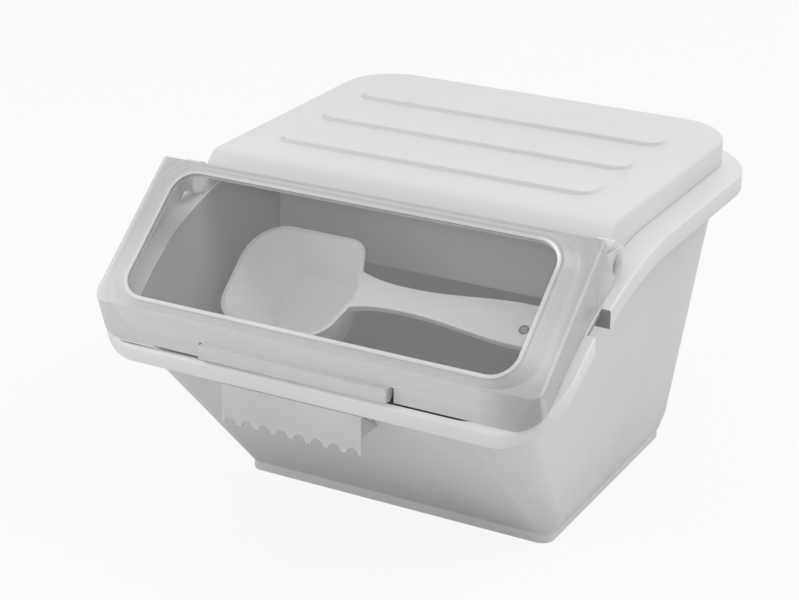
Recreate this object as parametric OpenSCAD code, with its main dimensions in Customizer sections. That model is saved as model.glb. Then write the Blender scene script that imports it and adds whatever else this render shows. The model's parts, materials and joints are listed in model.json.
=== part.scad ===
// Rice bin with a lift-off rear lid, a clear flip door, a hanging inner guard and a scoop.
// Millimetres. Front is -Y, right is +X, up is +Z. The origin is on the ground under the middle of the bin.

/* [Overall] */
// Width over the rim
rim_w = 292; // [276:1:310]
// Depth over the rim and the door's handle
depth = 317; // [310:1:330]
// Height of the level part of the rim
rim_z = 185; // [178:1:200]
// Radius of the curve that the rim follows down to the front
rim_arc_r = 227.5; // [220:0.5:240]
// Where the level rim turns into the curve, from the middle
rim_arc_y = 4; // [0:1:10]

/* [Tub] */
// Thickness of the side and rear walls
wall_t = 3; // [2:0.1:3.6]
// Floor thickness
floor_t = 3; // [2:0.2:5]
// How far the rim stands out past the side walls
side_over = 14; // [12:0.5:16]
// How far the rim stands out past the rear wall
rear_over = 10.5; // [9:0.5:12]
// How far each side wall leans in from the rim down to the bend
side_taper = 24; // [16:1:28]
// How far the rear wall leans in from the rim down to the bend
rear_taper = 27; // [20:1:32]
// Height of the bend near the foot
bend_z = 20; // [14:1:30]
// How far each side wall leans in below the bend
bend_taper = 5; // [2:0.5:8]
// How far the rear wall leans in below the bend
bend_rear_taper = 3; // [1:0.5:6]
// Front of the walls at the foot, from the middle
wall_front_y = -54; // [-62:1:-48]
// Corner radius of the walls at the foot
wall_foot_r = 9; // [7:1:14]
// Corner radius of the walls at the bend
wall_bend_r = 16; // [12:1:24]
// Corner radius of the walls at the rim
wall_top_r = 43; // [34:1:50]
// Height of the foot ring
foot_h = 7.5; // [5:0.5:10]
// How far the foot ring is set in from the walls
foot_inset = 1; // [0.5:0.5:3]
// Width of the foot ring
foot_t = 4; // [2:0.5:6]

/* [Rim] */
// Thickness of the rim flange
rim_t = 3; // [2:0.2:4]
// Thickness of the turned-down edge
edge_t = 2.6; // [2:0.2:3.6]
// Height of the turned-down edge along the sides
rim_drop = 11.5; // [9:0.5:14]
// How much wider the curve of the edge's lower side is than the rim's
drop_extra = 9; // [6:0.5:12]
// Width of the ledge from the side walls to the mouth
mouth_in = 6; // [5:0.5:8]
// Corner radius of the rim at the rear
rim_rear_r = 56; // [46:1:64]
// Corner radius of the rim at the front
rim_front_r = 34; // [26:1:42]
// Length of the notch in each side of the rim
notch_len = 18.4; // [12:0.4:24]
// How far the notch is in front of the hinge axis
notch_ahead = 29.5; // [26:0.5:34]

/* [Rear lid] */
// How far the lid is set in from the sides of the rim
lid_set = 16.5; // [14:0.5:18]
// How far the lid is set in from the rear of the rim
lid_rear_set = 8; // [6:0.5:10]
// Height of the lid's flat top over the rim
lid_rise = 16.5; // [15:0.5:18]
// How far the front edge of the flat top is behind the hinge axis
crease_back = 21.8; // [20:0.2:26]
// How far the sloped front of the lid comes down between the hinge bosses
front_drop = 10.4; // [8:0.2:14]
// Rear corner radius of the lid
lid_r = 36; // [28:1:44]
// Lid thickness
lid_t = 2.6; // [2:0.1:3.4]
// Height of the raised ribs
rib_h = 3; // [1.5:0.5:5]
// Width of the raised ribs
rib_w = 18; // [10:1:24]
// How far the ribs' ends are from the sides of the lid
rib_end = 27.5; // [20:0.5:40]
// How far the first rib's middle is behind the front edge of the flat top
rib_first = 35.7; // [26:0.1:44]
// Spacing of the ribs
rib_pitch = 49.5; // [36:0.5:54]

/* [Inner guard] */
// How far the guard is set in from the sides of the lid
guard_set = 11.5; // [10:0.5:18]
// How far the guard hangs below the rim
guard_drop = 62; // [45:1:68]
// Middle of the guard's thickness, from the hinge axis
guard_back = 76.5; // [72:0.5:84]
// Guard thickness
guard_t = 2.2; // [1.6:0.2:3]
// Radius of the guard's lower corners
guard_r = 8; // [4:1:14]

/* [Flip door] */
// How far the door is set in from the sides of the rim
door_set = 6.3; // [6:0.1:7]
// How far the door's front edge is behind the front of the rim
door_in = 2.6; // [2:0.2:4]
// How far the door's top edge is in front of the hinge axis
door_ahead = 15.2; // [14:0.2:17]
// Height of the door's top edge over the hinge axis
door_rise = 18.5; // [17:0.5:20]
// Thickness of the door
door_t = 2.4; // [1.8:0.1:3]
// Front corner radius of the door at its top
door_r = 7; // [5:1:11]
// Front corner radius of the door at its lower edge
door_low_r = 18; // [12:1:24]
// Height of the flange that the door's top edge turns down into
flange_h = 9; // [6:0.5:11]
// Height of the front skirt
skirt_h = 20.8; // [16:0.1:24]
// Height of the front skirt's lower edge over the front of the rim
skirt_gap = 2.6; // [2:0.2:6]
// How far the window panel is raised
window_rise = 5; // [3:0.5:6.5]
// How far the window is set in from the sides of the door
window_set = 18.7; // [16:0.1:24]
// Distance of the window from the hinge edge
window_top = 10.4; // [9:0.2:14]
// Distance of the window from the front edge
window_low = 5.5; // [4.5:0.5:9]
// Corner radius of the window
window_r = 14; // [8:1:20]
// Width of the bead round the window
bead_w = 2.4; // [1.6:0.2:3.2]
// Half width of the handle
handle_w = 59; // [40:1:80]
// Height of the handle
handle_h = 7.7; // [5:0.1:10]
// Height of the handle over the skirt's lower edge
handle_up = 1.4; // [0:0.2:4]
// How far the handle's middle is to the left
handle_left = 7; // [0:0.5:12]
// How far the handle stands out past the rim
handle_out = 2; // [1:0.5:4]
// How far the side skirts lean in at their lower edge
door_lean = 0.6; // [0:0.1:1.2]

/* [Hinge] */
// Distance of the hinge axis from the front of the rim
hinge_back = 94; // [90:0.5:98]
// Height of the hinge axis over the level rim
hinge_rise = 1; // [0:0.5:2.5]
// Radius of the hinge pins
pin_r = 3.4; // [2.6:0.1:4.2]
// Radius of the pin heads
head_r = 4.7; // [4.6:0.1:7]
// Thickness of the pin heads
head_t = 1.1; // [1:0.1:2.4]
// How deep the pins go into the lid's bosses
pin_deep = 6; // [4:0.5:7]
// Radius of the door's ears
ear_r = 8; // [7:0.1:9.8]
// Radius of the lid's bosses round the pins
boss_r = 6.6; // [6:0.1:8]
// Radius of the bosses' upper corner
boss_top_r = 7; // [6:0.1:8]

/* [Scoop] */
// Half length of the bowl
bowl_half = 42; // [34:1:43]
// Half width of the bowl
bowl_w = 34.5; // [30:0.5:36]
// Depth of the bowl
bowl_deep = 36; // [26:1:37]
// Distance from the bin's side at the rim to the bowl
bowl_side = 23.2; // [22:0.2:26]
// Scoop wall thickness
scoop_t = 2; // [1.4:0.2:2.8]
// Width of the handle at its waist
grip_w = 15.6; // [13:0.2:20]
// How much wider than its waist the handle is where it meets the bowl
neck_flare = 14; // [6:1:18]
// How far the handle runs into the bowl
grip_root = 8; // [6:0.5:12]
// Width of the handle at its end
grip_end_w = 27; // [20:1:30]
// Distance from the handle's end to the bin's side at the rim
grip_side = 19; // [17:1:30]
// Distance of the hanging hole from the handle's end
hang_in = 30.5; // [24:0.5:34]
// Radius of the hanging hole
hang_r = 3; // [2.4:0.1:4]
// How much thinner the peg's radius is than the hole's
hang_play = 1; // [0.4:0.1:1.4]
// Thickness of the scoop's handle with its turned-down edge
grip_deep = 6; // [4:0.5:8]
// Distance of the scoop's middle from the front of the rim
scoop_back = 102.5; // [100:0.5:106]
// Height of the scoop's middle over the front of the rim
scoop_up = 13.9; // [12:0.1:16]
// Slope at which the scoop hangs
scoop_tilt = 40; // [38:1:41]

/* [Label plate] */
// Width of the label plate
label_w = 89; // [60:1:110]
// How far the label plate's middle is to the left
label_left = 8.5; // [0:0.5:20]
// Height of the label plate
label_h = 23.7; // [18:0.1:30]
// Label plate thickness
label_t = 1.6; // [1.2:0.2:2.4]
// Number of teeth along the lower edge
teeth = 8; // [4:1:12]

/* [Fits] */
// Gap between loose pieces
gap = 0.4; // [0.3:0.05:0.6]
// Clearance of the hinge pins in the door's ears
run_fit = 0.05; // [0.02:0.01:0.1]
// Clearance of pieces that are pushed together
seat_fit = 0.1; // [0.05:0.05:0.2]
// Gap between a piece and the rest or wall that it lies against
rest_gap = 0.3; // [0.2:0.05:0.5]

/* [Hidden] */
$fn = 72;
eps = 0.01;
big = 400;

// Rim.
rim_front = -depth / 2 + handle_out;
rim_rear = depth / 2;
arc_z = rim_z - rim_arc_r;
rim_front_z = arc_z + sqrt(pow(rim_arc_r, 2) - pow(rim_front - rim_arc_y, 2));
drop_arc_r = rim_arc_r + drop_extra;
drop_arc_z = rim_z - rim_drop - drop_arc_r;
rim_front_low_z = drop_arc_z + sqrt(pow(drop_arc_r, 2) - pow(rim_front - rim_arc_y, 2));

// Walls.
wall_z0 = foot_h - 1;
floor_z = wall_z0 + floor_t;
wall_top_w = rim_w / 2 - side_over;
wall_bend_w = wall_top_w - side_taper;
wall_foot_w = wall_bend_w - bend_taper;
wall_rear_top_y = rim_rear - rear_over;
wall_bend_rear_y = wall_rear_top_y - rear_taper;
wall_rear_y = wall_bend_rear_y - bend_rear_taper;
front_lean = (wall_front_y - rim_front) / (rim_front_z - wall_z0);
front_t = wall_t * sqrt(1 + front_lean * front_lean);
bend_lean = bend_taper / (bend_z - wall_z0);
bend_rear_lean = bend_rear_taper / (bend_z - wall_z0);

// Foot ring.
foot_w = wall_foot_w - foot_inset;
foot_front_y = wall_front_y + foot_inset;
foot_rear_y = wall_rear_y - foot_inset;
foot_r = wall_foot_r - foot_inset;

// Hinge axis, and the middle of the notches in the sides of the rim.
pivot_y = rim_front + hinge_back;
pivot_z = rim_z + hinge_rise;
notch_y = pivot_y - notch_ahead;

// Rear lid and the mouth that it covers.
lid_w = rim_w / 2 - lid_set;
lid_z = rim_z + lid_rise;
lid_rear_y = rim_rear - lid_rear_set;
lid_crease_y = pivot_y + crease_back;
lid_drop = lid_rise - gap;
lip_t = 2;
lip_h = 5;
mouth_w = wall_top_w - mouth_in;
mouth_rear_y = wall_rear_top_y - mouth_in;
mouth_r = wall_top_r - mouth_in;

// Inner guard.
guard_w = lid_w - guard_set;
guard_y = pivot_y + guard_back;
guard_low_z = rim_z - guard_drop;
guard_top_z = lid_z - lid_t - 0.5;

// Flip door.
door_w = rim_w / 2 - door_set;
door_top_y = pivot_y - door_ahead;
door_top_z = pivot_z + door_rise;
crease_y = rim_front + door_in;
skirt_low_z = rim_front_z + skirt_gap;
crease_z = skirt_low_z + skirt_h;
door_slope = atan2(door_top_z - crease_z, door_top_y - crease_y);
door_len = norm([door_top_y - crease_y, door_top_z - crease_z]);
window_w = door_w - window_set;

// Hinge pieces.
ear_x0 = door_w - door_t;
boss_x1 = ear_x0 - gap;

// Scoop, in its own frame: X along the handle, -Y down the slope, Z out of the bowl.
scoop_y = rim_front + scoop_back;
scoop_z = rim_front_z + scoop_up;
bowl_x = -wall_top_w + bowl_side + bowl_half;
grip_end_x = wall_top_w - grip_side;
hang_x = grip_end_x - hang_in;
grip_root_x = bowl_x + bowl_half - grip_root;
waist_x = grip_root_x + 3 * neck_flare;
grip_mid = 2.7;

// Label plate.
label_x0 = -label_left - label_w / 2;
label_y = rim_front + 0.2;
label_top_z = rim_front_low_z - 0.5;
label_low_z = label_top_z - label_h;
web_t = 2;
web_h = 14;

// ---- shapes used by several pieces ----

// Rounded rectangle from (-w, y0) to (w, y1), with its own radius at the front and the rear.
module plan(w, y0, y1, front_r, rear_r) {
    union() {
        translate([-w, y0 + front_r]) square([2 * w, y1 - y0 - front_r - rear_r]);
        translate([-w + front_r, y0]) square([2 * (w - front_r), y1 - y0 - rear_r]);
        translate([-w + rear_r, y0 + front_r]) square([2 * (w - rear_r), y1 - y0 - front_r]);
        for (s = [-1, 1]) translate([s * (w - front_r), y0 + front_r]) circle(front_r);
        for (s = [-1, 1]) translate([s * (w - rear_r), y1 - rear_r]) circle(rear_r);
    }
}

// Turns a shape drawn in (y, z) into a bar along X from x0 to x1.
module along_x(x0, x1) {
    translate([x0, 0, 0]) rotate([90, 0, 90]) linear_extrude(x1 - x0) children();
}

// Everything below a line that is level at height z and curves down in front, drawn in (y, z).
module below_curve(z, r) {
    low = -10;
    union() {
        translate([rim_arc_y - eps, low]) square([big, z - low]);
        intersection() {
            translate([rim_arc_y, z - r]) circle(r, $fn = 180);
            translate([rim_arc_y - big, low]) square([big, big]);
        }
    }
}

// Everything below the rim; d raises or lowers the line.
module below_rim(d) {
    below_curve(rim_z + d, rim_arc_r + d);
}

// The side view of the rim with its turned-down edge.
module rim_band() {
    difference() {
        below_rim(0);
        below_curve(rim_z - rim_drop, drop_arc_r);
    }
}

// One outline of the walls at height z, moved in by t.
module wall_outline(z, w, front_y, rear_y, r, t) {
    tf = t * front_t / wall_t;
    translate([0, 0, z]) linear_extrude(eps) plan(w - t, front_y + tf, rear_y - t, r - t, r - t);
}

// Front of the sloped wall at height z.
function wall_y(z) = wall_front_y - front_lean * (z - wall_z0);

// Tapered block with rounded upright edges and a bend above the foot, from height z0 up.
module wall_block(t, z0) {
    up = z0 - wall_z0;
    union() {
        hull() {
            wall_outline(bend_z, wall_bend_w, wall_y(bend_z), wall_bend_rear_y, wall_bend_r, t);
            wall_outline(rim_z, wall_top_w, wall_y(rim_z), wall_rear_top_y, wall_top_r, t);
        }
        hull() {
            wall_outline(z0, wall_foot_w + bend_lean * up, wall_y(z0), wall_rear_y + bend_rear_lean * up,
                         wall_foot_r, t);
            wall_outline(bend_z, wall_bend_w, wall_y(bend_z), wall_bend_rear_y, wall_bend_r, t);
        }
    }
}

module scoop_frame() {
    translate([0, scoop_y, scoop_z]) rotate([scoop_tilt, 0, 0]) children();
}

// ---- tub ----

module rim_flange() {
    difference() {
        intersection() {
            along_x(-rim_w, rim_w) rim_band();
            linear_extrude(big) plan(rim_w / 2, rim_front, rim_rear, rim_front_r, rim_rear_r);
        }
        intersection() {
            along_x(-rim_w, rim_w) below_rim(-rim_t);
            linear_extrude(big) plan(rim_w / 2 - edge_t, rim_front + edge_t, rim_rear - edge_t,
                                     rim_front_r - edge_t, rim_rear_r - edge_t);
        }
    }
}

// Web that closes the flange beside a notch.
module notch_cheek(y) {
    intersection() {
        along_x(-rim_w, rim_w) rim_band();
        translate([-rim_w / 2 + 1, y, 0]) cube([rim_w - 2, edge_t, big]);
    }
}

module notch_cut() {
    deep = 5.4;
    for (s = [-1, 1]) translate([s * rim_w / 2, notch_y, rim_z])
        cube([2 * deep, notch_len, rim_z], center = true);
}

// Everything inside the walls, up through the mouth.
module cavity() {
    intersection() {
        wall_block(wall_t, floor_z);
        union() {
            along_x(-rim_w, rim_w) below_rim(-rim_t);
            linear_extrude(big) plan(mouth_w, -rim_w, mouth_rear_y, mouth_r, mouth_r);
        }
    }
}

// Brackets that run in from the side walls under the scoop, with the peg that its hole hangs on.
module scoop_rests() {
    rest_t = 6;
    out = rim_w / 2;
    bowl_rest_w = 16;
    bowl_rest_x = bowl_x - bowl_half / 2;
    grip_rest_x = hang_x - 2 * hang_r;
    grip_rest_z = -grip_deep - rest_gap;
    peg_low = 0.6;
    scoop_frame() {
        translate([-out, -bowl_rest_w / 2, -bowl_deep - rest_gap - rest_t])
            cube([out + bowl_rest_x, bowl_rest_w, rest_t]);
        translate([grip_rest_x, grip_mid - grip_end_w / 2, grip_rest_z - rest_t])
            cube([out - grip_rest_x, grip_end_w, rest_t]);
        translate([hang_x, 0, grip_rest_z - eps]) cylinder(h = -grip_rest_z - peg_low, r = hang_r - hang_play);
    }
}

// Outline of the foot ring, moved in by t.
module foot_outline(t) {
    plan(foot_w - t, foot_front_y + t, foot_rear_y - t, foot_r - t, foot_r - t);
}

module tub() {
    color([0.93, 0.93, 0.93]) difference() {
        union() {
            intersection() {
                wall_block(0, wall_z0);
                along_x(-rim_w, rim_w) below_rim(0);
            }
            rim_flange();
            notch_cheek(notch_y + notch_len / 2);
            notch_cheek(notch_y - notch_len / 2 - edge_t);
            linear_extrude(floor_z) foot_outline(0);
        }
        difference() {
            cavity();
            scoop_rests();
        }
        translate([0, 0, -1]) linear_extrude(wall_z0 + 1) foot_outline(foot_t);
        notch_cut();
    }
}

// ---- rear lid ----

// Side view of the lid with its sloped front, moved in by t, in (y, z).
module lid_side(t) {
    miter = t * tan(22.5);
    foot_y = lid_crease_y - lid_drop + t;
    polygon([[lid_crease_y + miter, lid_z - t], [foot_y, lid_z - lid_drop - miter], [foot_y, 0], [big, 0],
             [big, lid_z - t]]);
}

module lid_shell() {
    front_y = lid_crease_y - lid_drop - 1;
    difference() {
        intersection() {
            along_x(-lid_w, lid_w) difference() {
                lid_side(0);
                below_rim(gap);
            }
            linear_extrude(big) plan(lid_w, front_y, lid_rear_y, 1, lid_r);
        }
        intersection() {
            along_x(-lid_w, lid_w) lid_side(lid_t);
            linear_extrude(big) plan(lid_w - lid_t, front_y, lid_rear_y - lid_t, 1, lid_r - lid_t);
        }
    }
}

// Takes away the lower part of the sloped front, between the hinge bosses.
module front_cut() {
    w = lid_w - lid_t;
    translate([-w, lid_crease_y - 2 * lid_drop, 0]) cube([2 * w, 2 * lid_drop - lid_t, lid_z - front_drop]);
}

// Raised rib across the lid, with its middle at y.
module top_rib(y) {
    half = lid_w - rib_end - rib_w / 2;
    translate([0, y, lid_z - 1]) linear_extrude(rib_h + 1) union() {
        square([2 * half, rib_w], center = true);
        for (s = [-1, 1]) translate([s * half, 0]) circle(rib_w / 2);
    }
}

module hinge_boss(side) {
    lid_side_x = lid_w - lid_t;
    top_y = 3;
    top_z = 4.5;
    tail = 16;
    along_x(side > 0 ? lid_side_x : -boss_x1, side > 0 ? boss_x1 : -lid_side_x) difference() {
        union() {
            translate([pivot_y, pivot_z]) circle(boss_r);
            translate([pivot_y + top_y, pivot_z + top_z]) circle(boss_top_r);
            translate([pivot_y, pivot_z - boss_r]) square([tail, boss_r + top_z]);
        }
        below_rim(gap);
    }
}

// Lip that drops inside the mouth and keeps the lid in place.
module lid_lip() {
    low = rim_z - lip_h;
    front_y = guard_y + lip_h;
    w = mouth_w - gap;
    rear_y = mouth_rear_y - gap;
    r = mouth_r - gap;
    difference() {
        translate([0, 0, low]) linear_extrude(lid_z - lid_t / 2 - low) plan(w, front_y, rear_y, 1, r);
        translate([0, 0, low - 1]) linear_extrude(lid_z)
            plan(w - lip_t, front_y - lip_t, rear_y - lip_t, 1, r - lip_t);
    }
}

// Two bars under the lid's top that hold the guard's upper edge.
module guard_channel() {
    bar_t = 2;
    bar_h = 5;
    for (s = [-1, 1])
        translate([0, guard_y + s * (guard_t + bar_t + 2 * seat_fit) / 2, lid_z - lid_t / 2 - bar_h / 2])
            cube([2 * guard_w - bar_h, bar_t, bar_h + lid_t / 2], center = true);
}

module rear_lid() {
    color([0.95, 0.95, 0.95]) difference() {
        union() {
            lid_shell();
            for (i = [0:2]) top_rib(lid_crease_y + rib_first + i * rib_pitch);
            hinge_boss(1);
            hinge_boss(-1);
            lid_lip();
            guard_channel();
        }
        for (s = [-1, 1]) translate([s * boss_x1, pivot_y, pivot_z]) rotate([0, 90, 0])
            cylinder(h = 2 * pin_deep, r = pin_r, center = true);
        front_cut();
    }
}

// ---- inner guard ----

module inner_guard() {
    color([0.9, 0.9, 0.9]) translate([0, guard_y + guard_t / 2, 0]) rotate([90, 0, 0])
        linear_extrude(guard_t) plan(guard_w, guard_low_z, guard_top_z, guard_r, 1);
}

// ---- flip door ----

// The door's own frame: its top face lies in z = 0 and runs down the slope along -Y.
module door_frame() {
    translate([0, door_top_y, door_top_z]) rotate([door_slope, 0, 0]) children();
}

// Block under the door's top face, with every side moved in by t.
module door_block(t) {
    hull() {
        door_frame() translate([0, 0, -t - eps]) linear_extrude(eps)
            plan(door_w - t, -door_len + t / cos(door_slope), 0, door_r - t, 1);
        translate([0, 0, skirt_low_z - 4]) linear_extrude(eps)
            plan(door_w - door_lean - t, crease_y + t, pivot_y + 10, door_low_r - t, 1);
    }
}

// Side view of the door's ears, in (y, z).
module ear_side() {
    root_y = pivot_y - 25;
    root_low = pivot_z - 30;
    union() {
        translate([pivot_y, pivot_z]) circle(ear_r);
        polygon([[root_y, pivot_z + ear_r], [pivot_y, pivot_z + ear_r], [pivot_y, pivot_z - ear_r],
                 [root_y, root_low]]);
    }
}

// Tapered panel that carries the window, with every side moved in by t.
module raised_panel(t) {
    cuff = bead_w + 9;
    margin = bead_w + 1;
    low_r = window_r + 8;
    top_r = window_r + margin;
    front_y = -door_len + window_low - bead_w + 0.5;
    door_frame() hull() {
        translate([0, 0, -t - eps]) linear_extrude(eps)
            plan(window_w + cuff - t, -door_len + 1 + t, -1.6 - t, low_r - t, low_r - t);
        translate([0, 0, window_rise - t - eps]) linear_extrude(eps)
            plan(window_w + margin - t, front_y + t, margin + 1 - window_top - t, top_r - t, top_r - t);
    }
}

module window_bead() {
    y0 = -door_len + window_low;
    y1 = -window_top;
    door_frame() translate([0, 0, window_rise - 0.5]) linear_extrude(1.5) difference() {
        plan(window_w + bead_w, y0 - bead_w, y1 + bead_w, window_r + bead_w, window_r + bead_w);
        plan(window_w, y0, y1, window_r, window_r);
    }
}

module door_handle() {
    out = rim_front - handle_out;
    translate([-handle_left - handle_w, out, skirt_low_z + handle_up])
        cube([2 * handle_w, crease_y - out + 1, handle_h]);
}

// Slots that part the two ends of the handle from the skirt.
module handle_slots() {
    slot_w = 2.4;
    for (s = [-1, 1])
        translate([s * (handle_w + slot_w / 2) - handle_left - slot_w / 2, rim_front - 5, skirt_low_z - 1])
            cube([slot_w, 12, handle_up + handle_h + 1]);
}

// Flange along the door's top edge, square to its face.
module top_flange() {
    half = ear_x0 + door_t / 2;
    door_frame() translate([-half, -door_t, -flange_h]) cube([2 * half, door_t, flange_h]);
}

module door_shell() {
    ear_root = 15;
    difference() {
        union() {
            door_block(0);
            along_x(ear_x0, door_w) ear_side();
            along_x(-door_w, -ear_x0) ear_side();
            raised_panel(0);
            window_bead();
            door_handle();
        }
        door_block(door_t);
        raised_panel(door_t);
        along_x(-rim_w, rim_w) below_rim(gap);
        translate([-rim_w, rim_front - big, 0]) cube([2 * rim_w, big + hinge_back / 2, skirt_low_z]);
        translate([-ear_x0, pivot_y - ear_root, 0]) cube([2 * ear_x0, 4 * ear_root, big]);
        translate([0, pivot_y, pivot_z]) rotate([0, 90, 0])
            cylinder(h = 2 * big, r = pin_r + run_fit, center = true);
        handle_slots();
    }
}

module flip_door() {
    color([0.85, 0.9, 0.92, 0.45]) union() {
        door_shell();
        top_flange();
    }
}

// ---- hinge pins ----

module hinge_pins() {
    head_x = door_w + rest_gap;
    pin_x = boss_x1 - pin_deep;
    color([0.8, 0.82, 0.84]) for (s = [-1, 1]) translate([0, pivot_y, pivot_z]) rotate([0, s * 90, 0]) {
        translate([0, 0, pin_x]) cylinder(h = head_x + head_t - pin_x, r = pin_r);
        translate([0, 0, head_x]) cylinder(h = head_t, r = head_r);
    }
}

// ---- scoop ----

// One rounded foot of the bowl's hull.
module bowl_disc(x, y, z, r) {
    translate([x, y, z]) cylinder(h = eps, r = r, $fn = 36);
}

// The bowl's outer form, with every side moved in by t.
module bowl(t) {
    near_end_r = 17;
    near_neck_r = 22;
    far_end_r = 26;
    far_neck_r = 12;
    nose_r = 9;
    low_r = 15;
    low_half = 11;
    hull() {
        bowl_disc(bowl_x - bowl_half + near_end_r, near_end_r - bowl_w, t - eps, near_end_r - t);
        bowl_disc(bowl_x + bowl_half - near_neck_r - 4, near_neck_r - bowl_w, t - eps, near_neck_r - t);
        bowl_disc(bowl_x - bowl_half + far_end_r, bowl_w - far_end_r, t - eps, far_end_r - t);
        bowl_disc(bowl_x + bowl_half - far_neck_r - 5, bowl_w - far_neck_r, t - eps, far_neck_r - t);
        bowl_disc(bowl_x + bowl_half - nose_r + 2, 0, t - eps, nose_r - t);
        for (s = [-1, 1]) {
            bowl_disc(bowl_x + 3 - low_half, s * nose_r, t - bowl_deep, low_r - t);
            bowl_disc(bowl_x + 3 + low_half, s * nose_r, t - bowl_deep, low_r - 2 - t);
        }
    }
}

// Half width of the handle at x: flared at the bowl, narrow at its waist, and wide from the hanging hole on.
function grip_half(x) = x < waist_x
    ? grip_w / 2 + neck_flare / 2 * pow((waist_x - x) / (waist_x - grip_root_x), 3)
    : grip_w / 2 + (grip_end_w - grip_w) / 4 * (1 - cos(180 * min(1, (x - waist_x) / (hang_x - waist_x))));

// Outline of the handle, moved in by inset, in the scoop's own frame.
module grip_plan(inset) {
    steps = 14;
    x1 = grip_end_x - inset;
    half = grip_end_w / 2 - inset;
    low_bevel = 3;
    high_bevel = 6;
    stations = [for (i = [0:steps]) grip_root_x + (hang_x - grip_root_x) * i / steps];
    translate([0, grip_mid]) polygon(concat(
        [for (x = stations) [x, inset - grip_half(x)]],
        [[x1 - low_bevel, -half], [x1, low_bevel - half], [x1, half - high_bevel], [x1 - high_bevel, half]],
        [for (i = [0:steps]) [stations[steps - i], grip_half(stations[steps - i]) - inset]]));
}

module grip() {
    difference() {
        translate([0, 0, -grip_deep]) linear_extrude(grip_deep) grip_plan(0);
        translate([0, 0, -grip_deep - 1]) linear_extrude(grip_deep + 1 - scoop_t) grip_plan(scoop_t);
    }
}

module scoop() {
    color([0.96, 0.96, 0.96]) scoop_frame() difference() {
        union() {
            bowl(0);
            grip();
        }
        bowl(scoop_t);
        translate([hang_x, 0, -big / 2]) cylinder(h = big, r = hang_r);
    }
}

// ---- label plate ----

// Web from the plate back to the sloped wall, starting at x.
module label_web(x) {
    back = label_y + label_t - 0.2;
    low = label_top_z - web_h;
    along_x(x, x + web_t) polygon([[back, label_top_z], [wall_y(label_top_z) - rest_gap, label_top_z],
        [wall_y(low) - rest_gap, low], [back, low]]);
}

module label_plate() {
    pitch = label_w / teeth;
    color([0.92, 0.92, 0.92]) union() {
        translate([0, label_y + label_t, 0]) rotate([90, 0, 0]) linear_extrude(label_t) difference() {
            translate([label_x0, label_low_z]) square([label_w, label_h]);
            for (i = [0:teeth - 1])
                translate([label_x0 + (i + 0.5) * pitch, label_low_z]) circle(pitch / 3);
        }
        for (i = [0:2]) label_web(label_x0 + 1 + i * (label_w - 2 - web_t) / 2);
    }
}

tub();
rear_lid();
inner_guard();
flip_door();
hinge_pins();
scoop();
label_plate();
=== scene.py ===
import json
import math

import bpy
from mathutils import Matrix, Vector

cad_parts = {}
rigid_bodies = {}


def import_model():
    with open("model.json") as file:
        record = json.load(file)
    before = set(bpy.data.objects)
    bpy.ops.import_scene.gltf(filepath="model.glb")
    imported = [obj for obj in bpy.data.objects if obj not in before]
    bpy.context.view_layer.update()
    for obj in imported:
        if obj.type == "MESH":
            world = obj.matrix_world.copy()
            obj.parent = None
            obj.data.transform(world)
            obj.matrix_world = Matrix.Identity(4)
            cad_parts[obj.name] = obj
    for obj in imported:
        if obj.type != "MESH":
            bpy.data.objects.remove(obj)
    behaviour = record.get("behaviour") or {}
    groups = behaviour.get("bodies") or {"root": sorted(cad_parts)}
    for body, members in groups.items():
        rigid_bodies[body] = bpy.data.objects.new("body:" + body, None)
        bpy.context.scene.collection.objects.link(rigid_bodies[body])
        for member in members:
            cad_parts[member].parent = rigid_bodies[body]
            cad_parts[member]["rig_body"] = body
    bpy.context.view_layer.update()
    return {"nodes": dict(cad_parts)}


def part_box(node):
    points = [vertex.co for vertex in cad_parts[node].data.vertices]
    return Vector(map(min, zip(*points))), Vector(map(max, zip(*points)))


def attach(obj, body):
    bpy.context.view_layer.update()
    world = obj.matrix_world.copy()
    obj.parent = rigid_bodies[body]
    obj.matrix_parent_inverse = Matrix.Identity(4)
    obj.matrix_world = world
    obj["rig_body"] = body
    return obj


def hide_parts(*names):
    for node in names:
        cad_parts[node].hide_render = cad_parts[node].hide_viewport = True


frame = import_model()
nodes = frame["nodes"]
mm = 0.001
print("frame loaded:", ", ".join(sorted(nodes)))


# Camera: where it stands, which way it looks, and how far the lens is shifted.
cameraSetup = {
    "place": (546.0 * mm, -1054.3 * mm, 606.2 * mm),
    "azimuth": 28.62,
    "elevation": 23.14,
    "roll": 0.32,
    "lens": 96.63,
    "sensorWidth": 36,
    "shiftX": 0.0063,
    "shiftY": 0.0289,
    "clipEnd": 20,
}


def makeCamera(setup):
    camera = bpy.data.objects.new("viewCamera", bpy.data.cameras.new("viewCamera"))
    bpy.context.scene.collection.objects.link(camera)
    camera.data.sensor_width = setup["sensorWidth"]
    camera.data.lens = setup["lens"]
    camera.data.shift_x = setup["shiftX"]
    camera.data.shift_y = setup["shiftY"]
    camera.data.clip_end = setup["clipEnd"]
    turn = Matrix.Rotation(math.radians(setup["azimuth"]), 4, "Z")
    tilt = Matrix.Rotation(math.radians(90 - setup["elevation"]), 4, "X")
    roll = Matrix.Rotation(math.radians(setup["roll"]), 4, "Z")
    camera.matrix_world = Matrix.Translation(setup["place"]) @ turn @ tilt @ roll
    bpy.context.scene.camera = camera


makeCamera(cameraSetup)
print("camera ready")


# One Math node of a tree, from values or wires.
def combine(tree, operation, *values):
    node = tree.nodes.new("ShaderNodeMath")
    node.operation = operation
    for socket, value in zip(node.inputs, values):
        plug(tree, value, socket)
    return Wire(tree, node.outputs[0])


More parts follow.
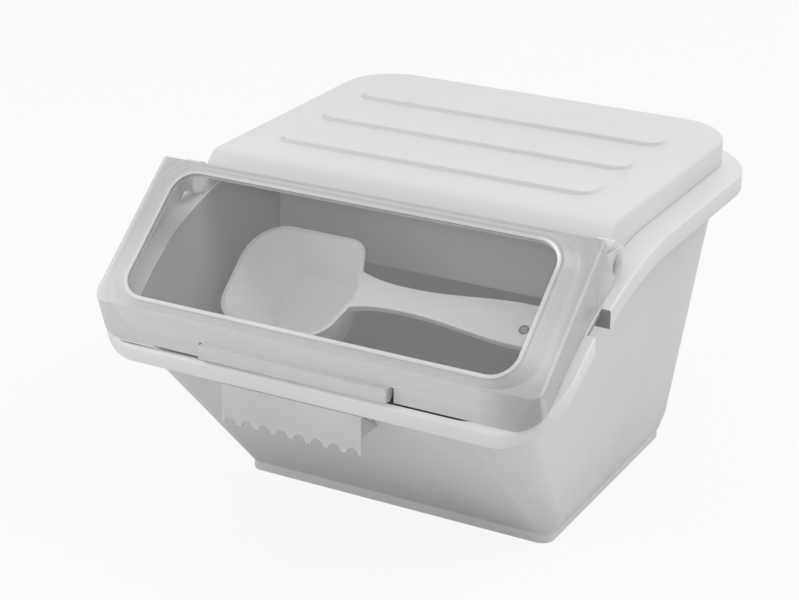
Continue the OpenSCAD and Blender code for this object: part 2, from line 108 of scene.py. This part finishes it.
# One socket of a node tree, written in expressions like a number.
class Wire:
    def __init__(self, tree, socket):
        self.tree = tree
        self.socket = socket

    def __add__(self, other):
        return combine(self.tree, "ADD", self, other)

    def __radd__(self, other):
        return combine(self.tree, "ADD", other, self)

    def __sub__(self, other):
        return combine(self.tree, "SUBTRACT", self, other)

    def __rsub__(self, other):
        return combine(self.tree, "SUBTRACT", other, self)

    def __mul__(self, other):
        return combine(self.tree, "MULTIPLY", self, other)

    def __rmul__(self, other):
        return combine(self.tree, "MULTIPLY", other, self)

    def __abs__(self):
        return combine(self.tree, "ABSOLUTE", self)

    def atLeast(self, other):
        return combine(self.tree, "MAXIMUM", self, other)

    def root(self):
        return combine(self.tree, "SQRT", self)


def plug(tree, value, socket):
    if isinstance(value, Wire):
        tree.links.new(value.socket, socket)
    else:
        socket.default_value = value


# Finds a socket by its identifier, or by its name with underscores for spaces.
def findSocket(sockets, key):
    for socket in sockets:
        if socket.identifier == key:
            return socket
    return sockets[key.replace("_", " ")]


# The node tree of a new material or world, under construction.
class Finish:
    def __init__(self, owner):
        self.owner = owner
        self.owner.use_nodes = True
        self.tree = owner.node_tree
        self.tree.nodes.clear()

    # Adds a node of any type: its settings first, then the values or links of its sockets.
    def add(self, kind, settings=None, out=None, **sockets):
        node = self.tree.nodes.new(kind)
        for key, value in (settings or {}).items():
            setattr(node, key, value)
        for key, value in sockets.items():
            plug(self.tree, value, findSocket(node.inputs, key))
        if not node.outputs:
            return None
        return Wire(self.tree, findSocket(node.outputs, out) if out else node.outputs[0])

    def place(self, stretch, turn):
        coords = self.add("ShaderNodeTexCoord", out="Object")
        return self.add("ShaderNodeMapping", Vector=coords, Rotation=turn, Scale=stretch)

    def axis(self, name):
        coords = self.add("ShaderNodeTexCoord", out="Object")
        return self.add("ShaderNodeSeparateXYZ", out=name, Vector=coords)

    def noise(self, scale, detail, roughness=0.5, stretch=(1, 1, 1), turn=(0, 0, 0)):
        return self.noiseAt(self.place(stretch, turn), scale, detail, roughness)

    def noiseAt(self, vector, scale, detail, roughness=0.5):
        return self.add("ShaderNodeTexNoise", Vector=vector, Scale=scale, Detail=detail,
                        Roughness=roughness)

    # Goes smoothly from dark to light while the value goes from low to high.
    def ramp(self, value, low, high, dark=0.0, light=1.0):
        return self.add("ShaderNodeMapRange", {"interpolation_type": "SMOOTHSTEP"}, Value=value,
                        From_Min=low, From_Max=high, To_Min=dark, To_Max=light)

    def blend(self, factor, first, second):
        return self.add("ShaderNodeMix", {"data_type": "RGBA"}, "Result_Color", Factor_Float=factor,
                        A_Color=first, B_Color=second)

    def bump(self, height, strength, distance):
        return self.add("ShaderNodeBump", Height=height, Strength=strength, Distance=distance)

    def mixShaders(self, factor, first, second):
        return self.add("ShaderNodeMixShader", Fac=factor, Shader=first, Shader_001=second)

    def finish(self, shader, output="ShaderNodeOutputMaterial"):
        self.add(output, Surface=shader)
        return self.owner


def grey(level):
    return (level, level, level, 1.0)


plasticIor = 1.5

# What all the moulded plastics share: the scuffs, and how much each pattern does.
mouldedLook = {
    "flowDetail": 3.0, "flowRange": (0.3, 0.7), "flowRoughness": 0.06, "flowHeight": 0.4,
    "grainDetail": 2.0, "grainHeight": 0.6, "bumpDepth": 0.6 * mm,
    "scuffScale": 38.0, "scuffDetail": 8.0, "scuffBreakup": 0.7, "scuffStretch": (1, 6, 1),
    "scuffTurn": (0.3, 0.2, 0.7), "scuffRange": (0.62, 0.72), "scuffRoughness": 0.10,
    "scatterDepth": 4.0 * mm,
}


# Moulded plastic: fine grain, faint flow marks and a few soft scuffs.
def mouldedPlastic(name, look):
    paint = Finish(bpy.data.materials.new(name))
    base = mouldedLook
    flow = paint.noise(look["flowScale"], base["flowDetail"], stretch=look["flowStretch"])
    grain = paint.noise(look["grainScale"], base["grainDetail"])
    scuffNoise = paint.noise(base["scuffScale"], base["scuffDetail"], base["scuffBreakup"],
                             base["scuffStretch"], base["scuffTurn"])
    scuffs = paint.ramp(scuffNoise, *base["scuffRange"])
    colour = paint.blend(paint.ramp(flow, *base["flowRange"]), grey(look["dark"]), grey(look["light"]))
    # A look may add painted shade: a mask, and the grey it darkens the colour towards.
    if "paintedShade" in look:
        colour = paint.blend(look["paintedShade"](paint), colour, grey(look["paintedShadeGrey"]))
    rough = look["roughness"] + base["flowRoughness"] * (flow - 0.5) + base["scuffRoughness"] * scuffs
    height = base["grainHeight"] * grain + base["flowHeight"] * flow
    shader = paint.add("ShaderNodeBsdfPrincipled", Base_Color=colour, Roughness=rough, IOR=plasticIor,
                       Alpha=look.get("alpha", 1.0), Subsurface_Weight=look["softness"],
                       Subsurface_Radius=(1.0, 1.0, 1.0), Subsurface_Scale=base["scatterDepth"],
                       Normal=paint.bump(height, look["bump"], base["bumpDepth"]))
    return paint.finish(shader)


# Door of clear plastic: a polished pane inside a bead with a painted highlight, and a frosted surround
# whose faint flow lines follow the pane's outline. Lengths go across the door, and down its slope from
# topEdge, its y and z. A range is where a fade starts and ends: outwards from the pane's outline for
# the pane and the bead, outwards from the side edge for the skirt and the painted edge highlight, along
# y for the hinge, and down the slope for the part painted paler.
doorLook = {
    "topEdge": (-77.7 * mm, 204.5 * mm), "slope": math.radians(39.3), "length": 98.5 * mm,
    "halfWidth": 121.0 * mm, "corner": 14.0 * mm, "fromHinge": 10.4 * mm, "fromFront": 5.5 * mm,
    "paneRange": (-0.3 * mm, 0.3 * mm), "beadRange": (1.4 * mm, 2.4 * mm), "beadHighlightShare": 0.34,
    "sideEdge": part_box("flip_door")[1].x, "skirtRange": (-0.6 * mm, -0.2 * mm), "skirtShare": 0.8,
    "hingeRange": (-84.0 * mm, -68.0 * mm), "edgeHighlightRange": (-2.2 * mm, -1.4 * mm), "edgeHighlightShare": 0.5,
    "streakScale": (260, 5, 5), "streakDetail": 2.0, "streakRange": (0.25, 0.75), "streakShare": 0.75,
    "hazeScale": 14.0, "hazeDetail": 2.0, "paleRange": (20.0 * mm, 100.0 * mm), "paleShare": 0.55,
    "paneAlpha": 0.11, "paneEdge": 0.14, "edgeBlend": 0.3, "surroundAlpha": 0.84, "streakAlpha": 0.06,
    "paneGrey": 0.70, "surroundDark": 0.515, "surroundLight": 0.575, "beadGrey": 0.84,
    "skirtGrey": 0.58, "roughness": 0.08, "frost": 0.16, "hazeRoughness": 0.04,
    "bump": 0.09, "bumpDepth": 0.8 * mm,
}

# Two spots painted on the door's right side: painted shade in the corner at the front, and a painted
# glint on the bead.
doorCornerShade = {"x": 130.0 * mm, "down": 101.0 * mm, "range": (4.0 * mm, 30.0 * mm),
              "grey": 0.44, "share": 0.8}
doorGlint = {"x": 118.0 * mm, "down": 14.0 * mm, "range": (3.0 * mm, 16.0 * mm),
             "grey": 1.0, "share": 0.9}


# Distance outwards from the pane's outline, a rounded rectangle on the door's slope; negative inside.
def paneDistance(x, down, look):
    first = look["fromHinge"]
    last = look["length"] - look["fromFront"]
    corner = look["corner"]
    acrossOut = (abs(x) - (look["halfWidth"] - corner)).atLeast(0.0)
    downOut = (abs(down - (first + last) / 2) - ((last - first) / 2 - corner)).atLeast(0.0)
    return (acrossOut * acrossOut + downOut * downOut).root() - corner


# 1 at the middle of a spot on the door's slope, fading to 0 over its range.
def spotMask(paint, x, down, spot):
    across = x - spot["x"]
    along = down - spot["down"]
    return 1 - paint.ramp((across * across + along * along).root(), *spot["range"])


def doorPlasticFinish(name, look):
    paint = Finish(bpy.data.materials.new(name))
    x, y, z = paint.axis("X"), paint.axis("Y"), paint.axis("Z")
    topY, topZ = look["topEdge"]
    down = (topY - y) * math.cos(look["slope"]) + (topZ - z) * math.sin(look["slope"])
    distance = paneDistance(x, down, look)
    surround = paint.ramp(distance, *look["paneRange"])
    bead = surround * (1 - paint.ramp(distance, *look["beadRange"]))
    side = abs(x) - look["sideEdge"]
    skirt = paint.ramp(side, *look["skirtRange"]) * (1 - paint.ramp(y, *look["hingeRange"]))
    edgeHighlight = paint.ramp(side, *look["edgeHighlightRange"]) * (1 - skirt)
    scaleOut, scaleX, scaleDown = look["streakScale"]
    along = paint.add("ShaderNodeCombineXYZ", X=distance * scaleOut, Y=x * scaleX, Z=down * scaleDown)
    streak = paint.ramp(paint.noiseAt(along, 1.0, look["streakDetail"]), *look["streakRange"])
    haze = paint.noise(look["hazeScale"], look["hazeDetail"])
    facing = paint.add("ShaderNodeLayerWeight", out="Facing", Blend=look["edgeBlend"])
    alpha = (look["paneAlpha"] + look["paneEdge"] * facing) * (1 - surround) + surround * (
        look["surroundAlpha"] + look["streakAlpha"] * (streak - 0.5))
    pattern = look["streakShare"] * streak + (1 - look["streakShare"]) * haze
    colour = paint.blend(pattern, grey(look["surroundDark"]), grey(look["surroundLight"]))
    # Painted light: the surround is drawn paler down the slope, towards the front.
    pale = paint.ramp(down, *look["paleRange"], light=look["paleShare"])
    colour = paint.blend(pale, colour, grey(look["beadGrey"]))
    # Painted shade in the door's front right corner.
    shade = doorCornerShade["share"] * spotMask(paint, x, down, doorCornerShade)
    colour = paint.blend(shade, colour, grey(doorCornerShade["grey"]))
    colour = paint.blend(look["skirtShare"] * skirt, colour, grey(look["skirtGrey"]))
    # Painted highlights: the bead and a line along the side edge are drawn lighter.
    beadAndEdgeHighlight = look["beadHighlightShare"] * bead + look["edgeHighlightShare"] * edgeHighlight
    colour = paint.blend(beadAndEdgeHighlight, colour, grey(look["beadGrey"]))
    glint = doorGlint["share"] * spotMask(paint, x, down, doorGlint) * bead
    colour = paint.blend(glint, colour, grey(doorGlint["grey"]))
    colour = paint.blend(surround, grey(look["paneGrey"]), colour)
    rough = look["roughness"] + look["frost"] * surround + look["hazeRoughness"] * haze
    flowBump = paint.bump(streak * surround, look["bump"], look["bumpDepth"])
    shader = paint.add("ShaderNodeBsdfPrincipled", Base_Color=colour, Roughness=rough, IOR=plasticIor,
                       Alpha=alpha, Normal=flowBump)
    return paint.finish(shader)


# The tub's rim in mm: level behind arcFrom, and from there an arc down to the front.
tubLow, tubHigh = [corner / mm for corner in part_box("tub")]
rim = {"halfWidth": tubHigh.x, "front": tubLow.y, "rear": tubHigh.y, "top": tubHigh.z,
       "frontRadius": 34.0, "rearRadius": 56.0, "arc": 227.5, "arcFrom": 4.0, "round": 3.4}

# The painted shade inside the tub, in mm: where the middle of each wall stands at the rim, and how far
# it leans in for each mm down. The front wall is given from its foot up. A range is where a fade goes.
wallHeight = 165.0
insideShade = {
    "side": 130.5, "sideLean": 24.0 / wallHeight, "rear": 146.5, "rearLean": 27.0 / wallHeight,
    "corner": 41.5, "cornerLean": 27.0 / wallHeight,
    "front": -52.0, "frontLean": 0.9133, "frontFoot": 6.5,
    "wallRange": (-0.4, 0.4), "floorRange": (15.0, 19.0), "rimRange": (0.6, 1.0),
    "frontRange": (-150.0, -140.0), "depthRange": (40.0, 120.0), "deepShare": 0.3,
}

# The painted shade in the two notches in the sides of the rim, and the darkening towards the foot.
notchShade = {"middle": -92.0, "lengthRange": (9.25, 9.35), "sideRange": (124.0, 125.0),
             "rimRange": (0.2, 0.5), "lowRange": (12.0, 20.0)}
footDarkening = {"share": 0.14, "range": (5.0, 60.0)}


# Painted shade: 1 high up inside the tub's walls and in the notches, less further down, a trace of
# darkening round the foot, and 0 on the rest.
def tubPaintedShade(paint):
    x, y, z = [paint.axis(name) * (1 / mm) for name in "XYZ"]
    depth = rim["top"] - z
    side = insideShade["side"] - depth * insideShade["sideLean"]
    rear = insideShade["rear"] - depth * insideShade["rearLean"]
    front = insideShade["front"] - (z - insideShade["frontFoot"]) * insideShade["frontLean"]
    corner = insideShade["corner"] - depth * insideShade["cornerLean"]
    across = (abs(x) - side + corner).atLeast(0.0)
    along = (abs(y - 0.5 * (rear + front)) - 0.5 * (rear - front) + corner).atLeast(0.0)
    within = corner - (across * across + along * along).root()
    ahead = (rim["arcFrom"] - y).atLeast(0.0)
    below = (rim["arc"] ** 2 - ahead * ahead).root() + rim["top"] - rim["arc"] - z
    inside = (paint.ramp(within, *insideShade["wallRange"]) * paint.ramp(z, *insideShade["floorRange"])
              * paint.ramp(below, *insideShade["rimRange"]) * paint.ramp(y, *insideShade["frontRange"])
              * paint.ramp(z, *insideShade["depthRange"], insideShade["deepShare"]))
    notch = (paint.ramp(abs(x), *notchShade["sideRange"]) * paint.ramp(below, *notchShade["rimRange"])
             * (1 - paint.ramp(below, *notchShade["lowRange"]))
             * (1 - paint.ramp(abs(y - notchShade["middle"]), *notchShade["lengthRange"])))
    foot = footDarkening["share"] * (1 - paint.ramp(z, *footDarkening["range"]))
    return inside.atLeast(notch).atLeast(foot)


# The moulded plastics. Flow is the broad pattern and grain the fine one, dark and light are the two
# greys between which the flow goes, and softness is how much light goes into the plastic.
plastics = {
    "tubPlastic": {"flowScale": 9.0, "flowStretch": (1, 1, 0.5), "grainScale": 900.0,
                   "dark": 0.715, "light": 0.755, "roughness": 0.42, "softness": 0.05, "bump": 0.10,
                   "paintedShade": tubPaintedShade, "paintedShadeGrey": 0.30},
    "lidPlastic": {"flowScale": 7.0, "flowStretch": (0.6, 1, 1), "grainScale": 1100.0,
                   "dark": 0.67, "light": 0.71, "roughness": 0.46, "softness": 0.05, "bump": 0.12},
    "scoopPlastic": {"flowScale": 20.0, "flowStretch": (1, 1, 1), "grainScale": 1200.0,
                     "dark": 0.92, "light": 0.96, "roughness": 0.34, "softness": 0.05, "bump": 0.05},
    # The guard's two greys are set darker as painted shade, standing in for the shade inside the tub.
    "guardPlastic": {"flowScale": 12.0, "flowStretch": (1, 1, 0.3), "grainScale": 800.0,
                     "dark": 0.59, "light": 0.63, "roughness": 0.3, "softness": 0.1, "bump": 0.06},
    "platePlastic": {"flowScale": 16.0, "flowStretch": (1, 1, 1), "grainScale": 1000.0,
                     "dark": 0.56, "light": 0.60, "roughness": 0.4, "softness": 0.05, "bump": 0.06},
    "pinPlastic": {"flowScale": 60.0, "flowStretch": (1, 1, 1), "grainScale": 1500.0,
                   "dark": 0.66, "light": 0.72, "roughness": 0.32, "softness": 0.0, "bump": 0.05,
                   "alpha": 0.55},
}
finishes = {name: mouldedPlastic(name, look) for name, look in plastics.items()}
finishes["doorPlastic"] = doorPlasticFinish("doorPlastic", doorLook)
print("materials ready")


# How a copy of a CAD node is cleaned: points this close are one, and faces this flat are joined.
cleanUp = {"merge": 0.02 * mm, "flat": math.radians(0.6)}


# A copy of a CAD node as a clean mesh to work on, its loose triangles merged.
def copyNode(node, name):
    bpy.ops.object.select_all(action="DESELECT")
    piece = nodes[node].copy()
    piece.data = nodes[node].data.copy()
    piece.name = name
    bpy.context.scene.collection.objects.link(piece)
    bpy.context.view_layer.objects.active = piece
    piece.select_set(True)
    bpy.ops.object.mode_set(mode="EDIT")
    bpy.ops.mesh.select_all(action="SELECT")
    bpy.ops.mesh.remove_doubles(threshold=cleanUp["merge"])
    bpy.ops.mesh.dissolve_limited(angle_limit=cleanUp["flat"], delimit={"NORMAL"})
    bpy.ops.object.mode_set(mode="OBJECT")
    return piece


# Bevels the edges sharper than the angle in degrees whose two ends, in mm, both pass the test.
def bevelWhere(piece, width, test, segments=4, angle=25):
    bpy.ops.object.mode_set(mode="EDIT")
    bpy.ops.mesh.select_mode(type="EDGE")
    bpy.ops.mesh.select_all(action="DESELECT")
    bpy.ops.mesh.edges_select_sharp(sharpness=math.radians(angle))
    bpy.ops.object.mode_set(mode="OBJECT")
    points = piece.data.vertices
    for edge in piece.data.edges:
        edge.select = edge.select and all(test(points[i].co / mm) for i in edge.vertices)
    for point in points:
        point.select = False
    for polygon in piece.data.polygons:
        polygon.select = False
    count = sum(edge.select for edge in piece.data.edges)
    bpy.ops.object.mode_set(mode="EDIT")
    bpy.ops.mesh.bevel(offset=width, segments=segments, affect="EDGES", clamp_overlap=True)
    bpy.ops.object.mode_set(mode="OBJECT")
    print("bevelled", count, "edges of", piece.name)


# Signed distance in mm from a rounded rectangle whose front and rear corners have their own radius.
def planDistance(x, y, plan):
    middle = (plan["front"] + plan["rear"]) / 2
    radius = plan["rearRadius"] if y > middle else plan["frontRadius"]
    dx = abs(x) - (plan["halfWidth"] - radius)
    dy = y - (plan["rear"] - radius) if y > middle else plan["front"] + radius - y
    if dx > 0 and dy > 0:
        return math.hypot(dx, dy) - radius
    return max(dx, dy) - radius


# How close in mm a point must be to count as on an edge: in plan, on the rim's arc and on a level edge.
closeTo = {"plan": 0.2, "arc": 0.3, "level": 0.05}


def rimHeight(y):
    if y >= rim["arcFrom"]:
        return rim["top"]
    return rim["top"] - rim["arc"] + math.sqrt(rim["arc"] ** 2 - (y - rim["arcFrom"]) ** 2)


def onRimEdge(point):
    return (abs(planDistance(point.x, point.y, rim)) < closeTo["plan"]
            and abs(point.z - rimHeight(point.y)) < closeTo["arc"])


def softenRim(piece):
    bevelWhere(piece, rim["round"] * mm, onRimEdge)


# The lid's flat top and its ribs in mm. Each rib is centred ribPitch behind the one before.
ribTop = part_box("rear_lid")[1].z / mm
ribHeight = 3.0
lidForm = {"ribTop": ribTop, "top": ribTop - ribHeight, "ribs": 3, "ribHalf": 102.0, "ribWidth": 18.0,
           "ribFirst": -5.0, "ribPitch": 49.5, "creaseRound": 3.2, "ribRound": 0.7, "ribFoot": 2.2}


def onRib(point):
    row = round((point.y - lidForm["ribFirst"]) / lidForm["ribPitch"])
    off = abs(point.y - lidForm["ribFirst"] - row * lidForm["ribPitch"])
    return (0 <= row < lidForm["ribs"] and off < lidForm["ribWidth"] / 2 + closeTo["plan"]
            and abs(point.x) < lidForm["ribHalf"] + closeTo["plan"])


def onRibTop(point):
    return point.z > lidForm["ribTop"] - closeTo["level"]


def onRibFoot(point):
    return abs(point.z - lidForm["top"]) < closeTo["level"] and onRib(point)


def onLidEdge(point):
    return abs(point.z - lidForm["top"]) < closeTo["level"] and not onRib(point)


def softenLid(piece):
    bevelWhere(piece, lidForm["ribFoot"] * mm, onRibFoot)
    bevelWhere(piece, lidForm["ribRound"] * mm, onRibTop)
    bevelWhere(piece, lidForm["creaseRound"] * mm, onLidEdge)


# Shades the piece smoothly and rounds every edge sharper than the angle in degrees.
def roundEdges(piece, width, segments=3, angle=32):
    bpy.ops.object.shade_smooth()
    bevel = piece.modifiers.new("edges", "BEVEL")
    bevel.width = width
    bevel.segments = segments
    bevel.limit_method = "ANGLE"
    bevel.angle_limit = math.radians(angle)
    bevel.harden_normals = True
    bpy.ops.object.modifier_apply(modifier="edges")


def hand(piece, node, material):
    piece.data.materials.clear()
    piece.data.materials.append(material)
    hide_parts(node)
    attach(piece, nodes[node]["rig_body"])


# The piece made for each CAD node: its name, how wide its edges are rounded, what is softened first,
# and its finish and slot.
pieceLooks = {
    "tub": {"name": "binTub", "edge": 0.8 * mm, "soften": softenRim,
            "finish": "tubPlastic", "slot": "tub"},
    "rear_lid": {"name": "rearLid", "edge": 0.9 * mm, "soften": softenLid,
                 "finish": "lidPlastic", "slot": "lid"},
    "inner_guard": {"name": "innerGuard", "edge": 0.5 * mm, "finish": "guardPlastic", "slot": "guard"},
    "flip_door": {"name": "flipDoor", "edge": 0.7 * mm, "finish": "doorPlastic", "slot": "clear"},
    "hinge_pins": {"name": "hingePins", "edge": 0.2 * mm, "finish": "pinPlastic", "slot": "pins"},
    "scoop": {"name": "riceScoop", "edge": 0.6 * mm, "finish": "scoopPlastic", "slot": "scoop"},
    "label_plate": {"name": "labelPlate", "edge": 0.4 * mm, "finish": "platePlastic", "slot": "label"},
}

for node, look in pieceLooks.items():
    piece = copyNode(node, look["name"])
    if "soften" in look:
        look["soften"](piece)
    roundEdges(piece, look["edge"])
    hand(piece, node, finishes[look["finish"]])
    print("piece", look["name"], len(piece.data.polygons), "faces")


# The room: the floor's width in metres, its grey and how dark shadows are on it, and how strongly the
# white world lights the object.
room = {"size": 6.0, "floorGrey": 0.68, "shadowDepth": 0.11, "ambient": 0.64}


def makeFloor(setup):
    bpy.ops.object.select_all(action="DESELECT")
    bpy.ops.mesh.primitive_plane_add(size=setup["size"], location=(0, 0, 0))
    floor = bpy.context.object
    floor.name = "studioFloor"
    paint = Finish(bpy.data.materials.new("studioFloor"))
    seen = paint.add("ShaderNodeLightPath", out="Is Camera Ray") * (1 - setup["shadowDepth"])
    paper = paint.add("ShaderNodeBsdfDiffuse", Color=grey(setup["floorGrey"]))
    glow = paint.add("ShaderNodeEmission", Color=grey(1.0), Strength=1.0)
    floor.data.materials.append(paint.finish(paint.mixShaders(seen, paper, glow)))


# A world that is plain white to the camera, in reflections and through glass, and dimmer as light.
def makeWorld(setup):
    paint = Finish(bpy.data.worlds.new("studioWorld"))
    seen = paint.add("ShaderNodeLightPath", out="Is Camera Ray")
    for ray in ("Is Glossy Ray", "Is Transmission Ray"):
        seen = seen.atLeast(paint.add("ShaderNodeLightPath", out=ray))
    level = seen * (1 - setup["ambient"]) + setup["ambient"]
    background = paint.add("ShaderNodeBackground", Color=grey(1.0), Strength=level)
    bpy.context.scene.world = paint.finish(background, "ShaderNodeOutputWorld")


# Square lamps: where each stands, its size in metres and its power in watts. All point at lampAim.
lamps = {
    "keyLamp": {"place": (1.5, 0.4, 2.0), "size": 1.4, "power": 23},
    "topLamp": {"place": (-0.5, 0.5, 2.3), "size": 1.8, "power": 1},
    "fillLamp": {"place": (-0.8, -0.9, 0.7), "size": 0.8, "power": 4.9},
}
lampAim = (0, 0, 0.1)


def makeLamps(setups):
    for name, setup in setups.items():
        data = bpy.data.lights.new(name, "AREA")
        data.shape = "SQUARE"
        data.size = setup["size"]
        data.energy = setup["power"]
        lamp = bpy.data.objects.new(name, data)
        bpy.context.scene.collection.objects.link(lamp)
        place = Vector(setup["place"])
        turn = (Vector(lampAim) - place).to_track_quat("-Z", "Y")
        lamp.matrix_world = Matrix.Translation(place) @ turn.to_matrix().to_4x4()


makeFloor(room)
makeWorld(room)
makeLamps(lamps)
bpy.context.scene.view_settings.view_transform = "Standard"
print("studio ready")
